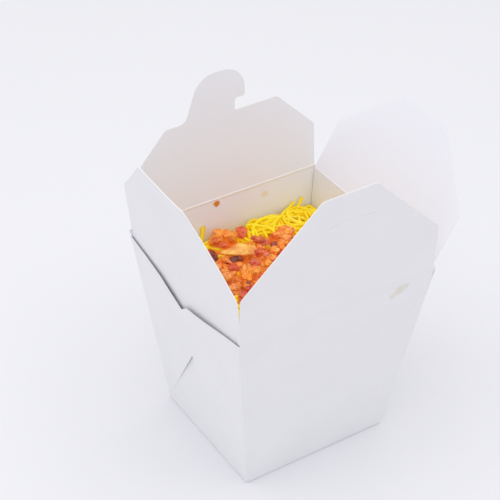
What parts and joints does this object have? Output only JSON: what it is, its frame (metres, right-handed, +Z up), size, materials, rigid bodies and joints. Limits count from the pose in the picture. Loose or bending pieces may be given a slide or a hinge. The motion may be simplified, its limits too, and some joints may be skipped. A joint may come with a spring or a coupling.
{
  "type": "noodle takeaway box",
  "caption": "Open flared paperboard takeaway pail with four creased flaps, a slit and hook lock, filled with noodles and sauced meat.",
  "frame": {"origin": "on the table, under the middle of the box's bottom", "axes": "+Z up; -Y out of the front wall, whose flap has the lock slit; +X to the right of someone facing that wall"},
  "size_m": [0.1479, 0.1068, 0.1742],
  "materials": {
    "white_board": "satin",
    "noodles": "satin",
    "sauced_meat": "satin",
    "sauced_slice": "satin"
  },
  "bodies": {
    "box": {"box_body": "white_board", "noodles": "noodles", "chunk_back_left": "sauced_meat", "chunk_back_mid": "sauced_meat", "chunk_left_dark": "sauced_meat", "chunk_centre_dark": "sauced_meat", "chunk_right_back": "sauced_meat", "chunk_right": "sauced_meat", "chunk_middle": "sauced_meat", "chunk_left": "sauced_meat", "chunk_front_middle": "sauced_meat", "chunk_front_left": "sauced_meat", "chunk_front_right": "sauced_meat", "chunk_front_tip": "sauced_meat", "sauced_slice": "sauced_slice"},
    "left_flap": {"left_flap": "white_board"},
    "right_flap": {"right_flap": "white_board"},
    "front_flap": {"front_flap": "white_board"},
    "back_flap": {"back_flap": "white_board"}
  },
  "joints": [
    {"name": "left_flap_crease", "type": "hinge", "parent": "box", "child": "left_flap", "pos_m": [-0.05345, 0, 0.1038], "axis": [0, 1, 0], "range_deg": [-88.1, 101.9]},
    {"name": "right_flap_crease", "type": "hinge", "parent": "box", "child": "right_flap", "pos_m": [0.05353, 0, 0.1044], "axis": [0, -1, 0], "range_deg": [-70.5, 119.5]},
    {"name": "front_flap_crease", "type": "hinge", "parent": "box", "child": "front_flap", "pos_m": [0, -0.0491, 0.105], "axis": [-1, 0, 0], "range_deg": [-98.6, 91.4]},
    {"name": "back_flap_crease", "type": "hinge", "parent": "box", "child": "back_flap", "pos_m": [0, 0.04917, 0.1056], "axis": [1, 0, 0], "range_deg": [-94.5, 95.5]}
  ]
}
